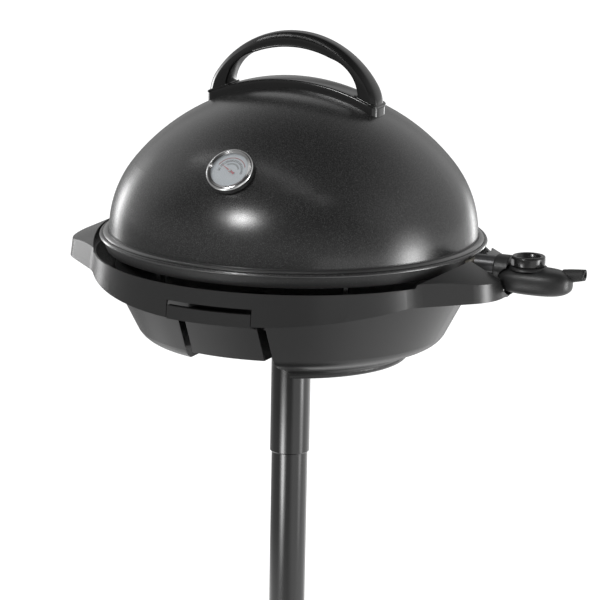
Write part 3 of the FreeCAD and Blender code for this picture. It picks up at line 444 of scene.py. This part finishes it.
half_count = 34
pairs = list(zip(even(outer_path, half_count), even(inner_path, half_count)))
flip = Vector((-1, 1))
stations = [(outer * flip, inner * flip) for outer, inner in reversed(pairs[1:])] + pairs
grip_loops = [arch_section(outer, inner) for outer, inner in stations]
piece_of("handle_arch", *skin(grip_loops), "handle_plastic", "lid", ["handle_grip"], 25.0)

# Handle saddle: a strip over the dome with rounded ends, and a shoe under each foot

crown = 245.6
crown_level = rim - 61.6


def over_dome(x, y, lift):
    """Level of the dome's crown moved outward by lift."""
    return crown_level + math.sqrt((crown + lift) ** 2 - x * x - y * y)


def saddle_loop(x, half, low, high, edge):
    """Loop across the strip at one place along it."""
    loop = [(x, -half, over_dome(x, half, low)), (x, -half, over_dome(x, half, high - edge))]
    for turn in (0.25, 0.5, 0.75, 1.0):
        angle = turn * math.pi / 2
        aside = half - edge + edge * math.cos(angle)
        loop.append((x, -aside, over_dome(x, aside, high - edge + edge * math.sin(angle))))
    loop.append((x, -half * 0.4, over_dome(x, half * 0.4, high)))
    return loop + [(x, -y, z) for x, y, z in reversed(loop)]


def saddle_strip(start, end, half, round_end, low, high, edge):
    """Strip along X whose plan corners are rounded."""
    loops = []
    places = [start + round_end * (1 - math.cos(math.pi / 2 * step / 8)) for step in range(9)]
    places += [start + round_end + (end - start - 2 * round_end) * step / 24 for step in range(1, 24)]
    places += [end - round_end * (1 - math.cos(math.pi / 2 * step / 8)) for step in range(8, -1, -1)]
    for x in places:
        nearest = min(x - start, end - x)
        inset = max(0.0, round_end - nearest)
        wide = half - round_end + math.sqrt(max(round_end ** 2 - inset ** 2, 0.0))
        shrink = 1.0 if nearest > edge else math.sqrt(max(1 - (1 - nearest / edge) ** 2, 0.0))
        drop = edge * (1 - shrink)
        loops.append(saddle_loop(x, wide - drop, low, high - drop, edge * max(shrink, 0.1)))
    return skin(loops)


strip_reach = 111.0
strip = saddle_strip(-strip_reach, strip_reach, half=18.0, round_end=11.0, low=-0.4, high=10.0, edge=1.8)
piece_of("handle_strip", *strip, "handle_plastic", "lid", ["handle_saddle"], 40.0)
shoe_inner_reach = 80.5
shoe_outer_reach = 110.6
for side, name in ((-1, "handle_shoe_left"), (1, "handle_shoe_right")):
    start, end = sorted((side * shoe_inner_reach, side * shoe_outer_reach))
    shoe = saddle_strip(start, end, half=17.6, round_end=6.0, low=9.4, high=11.8, edge=1.0)
    piece_of(name, *shoe, "handle_plastic", "lid", (), 40.0)

# Lid rim: a rounded flange and a rolled bead with a groove above each

rim_profile = [
    (224.0, 0.5), (229.6, 0.12), (231.2, 0.4), (232.1, 1.1), (232.3, 2.1), (231.7, 3.3), (230.5, 4.2),
    (229.4, 4.65), (228.6, 4.5), (227.7, 4.2), (228.1, 5.2), (227.6, 6.1), (226.5, 7.1), (225.1, 7.8),
    (223.6, 8.1), (222.3, 7.95), (221.4, 7.35), (221.25, 8.4), (220.6, 8.4),
]
piece_of("rim_moulding", *lathe(rim_profile, (0.0, 0.0, rim), 240), "rim_paint", "lid", (), 48.0)

# Temperature control: pebble shaped case, knob with a dished top, tapered cable gland


def pebble(start, end, half, low, high, power, plan):
    """A rounded case along X; power squares up its section and plan its outline from above."""
    loops = []
    count = 48
    for step in range(count + 1):
        along = -math.cos(math.pi * step / count)
        swell = (1 - abs(along) ** plan) ** (1 / plan) if abs(along) < 1 else 0.0
        swell = max(swell, 0.02)
        x = (start + end) / 2 + along * (end - start) / 2
        middle = (low + high) / 2
        loop = []
        for spot in range(48):
            angle = 2 * math.pi * spot / 48
            c, s = math.cos(angle), math.sin(angle)
            y = math.copysign(abs(c) ** (2 / power), c) * half * swell
            tall = (high - low) / 2 * swell ** 0.75
            loop.append((x, y, middle + math.copysign(abs(s) ** (2 / power), s) * tall))
        loops.append(loop)
    return skin(loops)


body = pebble(start=264.0, end=356.0, half=23.0, low=rim - 36.5, high=rim - 3.5, power=2.6, plan=2.7)
cases = ["control_upper_case", "control_lower_case"]
piece_of("control_body", *body, "control_plastic", "control", cases, 60.0)
knob_at = (301.6, 0.0, rim)
knob_profile = [
    (0.0, -2.5), (19.0, -2.5), (19.4, -2.2), (19.6, -1.5), (20.0, 6.4), (19.9, 7.4), (19.5, 8.4), (18.7, 9.2),
    (17.6, 9.5), (16.0, 9.3), (14.8, 8.7), (14.1, 7.6), (13.7, 5.4), (13.0, 4.2), (11.8, 3.7), (0.0, 3.5),
]
piece_of("control_dial_knob", *lathe(knob_profile, knob_at), "knob_plastic", "knob", ["control_knob"], 40.0)
gland_low, gland_high = (Vector(corner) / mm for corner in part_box("cable_gland"))
gland_end = gland_high.x
gland_axis = (gland_low + gland_high) / 2
gland_start = 343.0
gland_rise = 0.15
gland_steps = 40
gland_shape = [
    (gland_start, 0.5), (gland_start, 8.2), (352.0, 8.0), (360.0, 7.5), (370.0, 6.7),
    (gland_end - 2.0, 6.1), (gland_end - 0.6, 5.8), (gland_end, 5.0), (gland_end - 0.3, 3.6),
    (gland_end - 3.0, 3.3), (gland_end - 3.0, 0.5),
]
gland_loops = []
for step in range(gland_steps):
    angle = 2 * math.pi * step / gland_steps
    loop = []
    for x, radius in gland_shape:
        level = gland_axis.z + gland_rise * (x - gland_start)
        loop.append((x, gland_axis.y + radius * math.cos(angle), level + radius * math.sin(angle)))
    gland_loops.append(loop)
piece_of("gland_sleeve", *skin(gland_loops, closed=True), "gland_rubber", "control", ["cable_gland"], 40.0)
seat_profile = [(12.0, -6.5), (23.0, -6.5), (22.6, -4.6), (21.4, -3.4), (20.4, -3.0), (12.0, -3.0)]
piece_of("knob_seat", *lathe(seat_profile, knob_at), "control_plastic", "control", (), 50.0)


# Printing on the thermometer's card, laid out on its face

dial_lean = math.radians(43.5)
dial_across = Vector((1, 0, 0))
dial_out = Vector((0, -math.cos(dial_lean), math.sin(dial_lean)))
dial_up = Vector((0, dial_out.z, -dial_out.y))
dial_seat = Vector((0, -crown * math.cos(dial_lean), crown_level + crown * math.sin(dial_lean)))
number_radius = 14.0
number_level = 6.04
number_count = 8
number_sweep = 176


def on_dial(x, y, level):
    """Place on the card, right and up from its middle and out from the dome."""
    return tuple(dial_seat + dial_across * x + dial_up * y + dial_out * level)


def dial_patch(corners, low=6.01, high=6.06):
    """A thin printed patch with these corners on the card."""
    bottom = [on_dial(x, y, low) for x, y in corners]
    top = [on_dial(x, y, high) for x, y in corners]
    return [bottom, top]


def ring_patches(inner, outer, first, last, count, share=1.0):
    """Patches side by side round the card between two angles, in degrees."""
    points, faces = [], []
    for number in range(count):
        start = math.radians(first + (last - first) * number / count)
        end = start + math.radians((last - first) / count * share)
        corners = [(radius * math.cos(angle), radius * math.sin(angle)) for radius, angle in (
            (inner, start), (outer, start), (outer, end), (inner, end),
        )]
        more_points, more_faces = skin(dial_patch(corners))
        faces += [tuple(spot + len(points) for spot in face) for face in more_faces]
        points += more_points
    return points, faces


piece_of("dial_scale_arc", *ring_patches(17.4, 18.6, 156, 22, 48), "scale_red", "lid")
piece_of("dial_ticks", *ring_patches(9.4, 11.0, 128, 18, 34, 0.55), "dial_ink", "lid")
piece_of("dial_inner_line", *ring_patches(9.1, 9.5, 128, 18, 40), "dial_ink", "lid")
for number in range(number_count):
    angle = math.radians(number_sweep - number_sweep / (number_count - 1) * number)
    words = bpy.data.curves.new("dial_number", "FONT")
    words.body = str(50 * (number + 1))
    words.size = 4.0 * mm
    words.offset = 0.12 * mm
    words.extrude = 0.02 * mm
    words.align_x = "CENTER"
    words.align_y = "CENTER"
    lettering = bpy.data.objects.new("dial_number_" + words.body, words)
    bpy.context.collection.objects.link(lettering)
    lean = angle - math.pi / 2
    along_number = dial_across * math.cos(lean) + dial_up * math.sin(lean)
    up_number = dial_up * math.cos(lean) - dial_across * math.sin(lean)
    spot = on_dial(number_radius * math.cos(angle), number_radius * math.sin(angle), number_level)
    lettering.matrix_world = Matrix((along_number, up_number, dial_out)).transposed().to_4x4()
    lettering.location = Vector(spot) * mm
    words.materials.append(finishes["dial_ink"])
    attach(lettering, "lid")


# Floor, light and camera

floor_half = 30
floor_gap = 0.0006
floor_corners = [(x * floor_half, y * floor_half, 0) for x, y in ((-1, -1), (1, -1), (1, 1), (-1, 1))]
floor_mesh = bpy.data.meshes.new("floor")
floor_mesh.from_pydata(floor_corners, [], [(0, 1, 2, 3)])
floor = bpy.data.objects.new("floor", floor_mesh)
floor.location.z = -floor_gap
bpy.context.collection.objects.link(floor)


def seen_directly(start):
    """1 for rays that come from the camera, a mirror or glass, and 1 for those from a mirror alone."""
    camera_ray, mirror_ray, glass_ray = (start.node("ShaderNodeLightPath", output=name) for name in (
        "Is Camera Ray", "Is Glossy Ray", "Is Transmission Ray",
    ))
    return camera_ray.or_more(mirror_ray).or_more(glass_ray), mirror_ray


def away_from_camera(depth, aside):
    """How far a place lies straight behind the object, for a camera 24 degrees to its right."""
    return depth * 0.914 - aside * 0.407


floor_paper = bpy.data.materials.new("floor_paper")
floor_paper.use_nodes = True
floor_tree = floor_paper.node_tree
floor_tree.nodes.clear()
paper = Wire(floor_tree)
matte = paper.node("ShaderNodeBsdfDiffuse", {}, {"Color": (0.30, 0.30, 0.30, 1)})
floor_place = paper.node("ShaderNodeTexCoord", output="Object")
floor_depth = paper.node("ShaderNodeSeparateXYZ", {}, {0: floor_place}, output="Y")
floor_aside = paper.node("ShaderNodeSeparateXYZ", {}, {0: floor_place}, output="X")
floor_reach = paper.node("ShaderNodeVectorMath", {"operation": "LENGTH"}, {0: floor_place}, output="Value")
floor_near = (0.45 + 0.55 * (1 - floor_aside.clear(-0.45, -0.10))) * (1 - floor_reach.clear(0.9, 1.25))
floor_facing = away_from_camera(floor_depth, floor_aside) / floor_reach
floor_far = (floor_depth + floor_aside * 1.3).clear(-0.5, 0.5) * (1 - floor_facing.clear(0.90, 0.97))
floor_rear = floor_near.or_more(floor_far)
paper_seen, paper_mirrored = seen_directly(paper)
glow = paper.node("ShaderNodeEmission", {}, {"Color": (1, 1, 1, 1), "Strength": 0.94})
bright = paper.node("ShaderNodeAddShader", {}, {0: matte, 1: glow})
shown = paper.node("ShaderNodeMixShader", {}, {
    0: paper_seen * (1 - 0.9 * paper_mirrored * (1 - floor_rear)), 1: matte, 2: bright,
})
paper.node("ShaderNodeOutputMaterial", {}, {"Surface": shown})
floor.data.materials.append(floor_paper)

world = bpy.data.worlds.new("studio")
bpy.context.scene.world = world
world.use_nodes = True
world.node_tree.nodes.clear()
sky = Wire(world.node_tree)
direction = sky.node("ShaderNodeTexCoord", output="Generated")
height = sky.node("ShaderNodeSeparateXYZ", {}, {0: direction}, output="Z")
behind = sky.node("ShaderNodeSeparateXYZ", {}, {0: direction}, output="Y")
aside = sky.node("ShaderNodeSeparateXYZ", {}, {0: direction}, output="X")
facing = away_from_camera(behind, aside)
rear = (behind + abs(aside) * 0.25).clear(-0.20, 0.30) * (1 - facing.clear(0.90, 0.97))
wall = 0.75 * rear * (1 - height.clear(0.55, 0.95))
front = 0.40 * (1 - height.clear(0.15, 0.50))
direct, mirrored = seen_directly(sky)
white = sky.node("ShaderNodeBackground", {}, {"Color": (1, 1, 1, 1), "Strength": 1.0})
dim = sky.node("ShaderNodeBackground", {}, {"Color": (1, 1, 1, 1), "Strength": 0.06})
felt = sky.node("ShaderNodeBackground", {}, {"Color": (1, 1, 1, 1), "Strength": 0.60})
seen = sky.node("ShaderNodeMixShader", {}, {0: mirrored * (1 - wall.or_more(front)), 1: white, 2: dim})
mixed = sky.node("ShaderNodeMixShader", {}, {0: direct, 1: felt, 2: seen})
sky.node("ShaderNodeOutputWorld", {}, {"Surface": mixed})


softbox_spread_shares = (1.7, 1.3, 0.95, 0.6)
softbox_layer_gap = 0.004


def softbox(name, place, aim, width, height, power):
    """A lamp with a soft edge: ellipses of equal power, each inside the last."""
    for layer, spread in enumerate(softbox_spread_shares):
        light = bpy.data.lights.new(f"{name}_{layer}", "AREA")
        light.shape = "ELLIPSE"
        light.size = width * spread
        light.size_y = height * spread
        light.energy = power / len(softbox_spread_shares)
        lamp = bpy.data.objects.new(light.name, light)
        toward = (Vector(aim) - Vector(place)).normalized()
        lamp.location = Vector(place) + toward * (softbox_layer_gap * layer)
        lamp.rotation_euler = toward.to_track_quat("-Z", "Y").to_euler()
        bpy.context.collection.objects.link(lamp)


softbox("key_box", (-0.40, -2.05, 2.05), (0.0, -0.15, 0.78), 0.56, 0.40, 27.0)
softbox("rear_left_box", (-2.19, 0.98, 0.75), (-0.2, 0.0, 0.75), 0.50, 1.10, 8.0)
softbox("rear_right_box", (0.42, 2.36, 0.45), (0.2, 0.0, 0.70), 0.35, 0.60, 2.0)
softbox("low_front_box", (-0.32, -1.05, 0.15), (0.0, 0.0, 0.35), 0.55, 0.22, 3.2)
softbox("right_box", (1.25, 0.12, 0.52), (0.1, 0.0, 0.62), 0.44, 0.66, 8.5)


def strip_light(name, first, last, aim, width, power):
    """A narrow lamp from one place to another, for the line of light along the handle."""
    first, last = Vector(first), Vector(last)
    along = (last - first).normalized()
    middle = (first + last) / 2
    away = middle - Vector(aim)
    away = (away - along * away.dot(along)).normalized()
    light = bpy.data.lights.new(name, "AREA")
    light.shape = "RECTANGLE"
    light.size = (last - first).length
    light.size_y = width
    light.energy = power
    lamp = bpy.data.objects.new(name, light)
    lamp.matrix_world = Matrix((along, away.cross(along), away)).transposed().to_4x4()
    lamp.location = middle
    bpy.context.collection.objects.link(lamp)


strip_width = 0.05
strip_meeting = (-0.87, -0.44, 2.86)
handle_top = (0, 0, 0.95)
strip_light("handle_strip_left", (-1.55, 0.0, 2.30), strip_meeting, handle_top, strip_width, 1.4)
strip_light("handle_strip_right", strip_meeting, (1.18, -0.91, 2.51), handle_top, strip_width, 1.8)

turn = math.radians(24.0)
tilt = math.radians(12.8)
roll = math.radians(1.1)
distance = 5.0
picture_pixels = 600
pixel = mm / 0.8349
rim_pixel_x = 293.5
rim_pixel_y = 237.0
film_width = 36.0
back = Vector((math.sin(turn) * math.cos(tilt), -math.cos(turn) * math.cos(tilt), math.sin(tilt)))
right = Vector((math.cos(turn), math.sin(turn), 0))
up = back.cross(right)
middle_x = picture_pixels / 2 - rim_pixel_x
middle_y = picture_pixels / 2 - rim_pixel_y
across = middle_x * math.cos(roll) + middle_y * math.sin(roll)
down = -middle_x * math.sin(roll) + middle_y * math.cos(roll)
target = Vector((0, 0, rim * mm)) + right * (across * pixel) - up * (down * pixel)
camera = bpy.data.cameras.new("camera")
camera.sensor_width = film_width
camera.lens = film_width * distance / (picture_pixels * pixel)
camera.clip_end = 200.0
viewer = bpy.data.objects.new("camera", camera)
axes = (right * math.cos(roll) + up * math.sin(roll), up * math.cos(roll) - right * math.sin(roll), back)
viewer.matrix_world = Matrix(axes).transposed().to_4x4()
viewer.location = target + back * distance
bpy.context.collection.objects.link(viewer)
bpy.context.scene.camera = viewer
bpy.context.scene.view_settings.view_transform = "Standard"
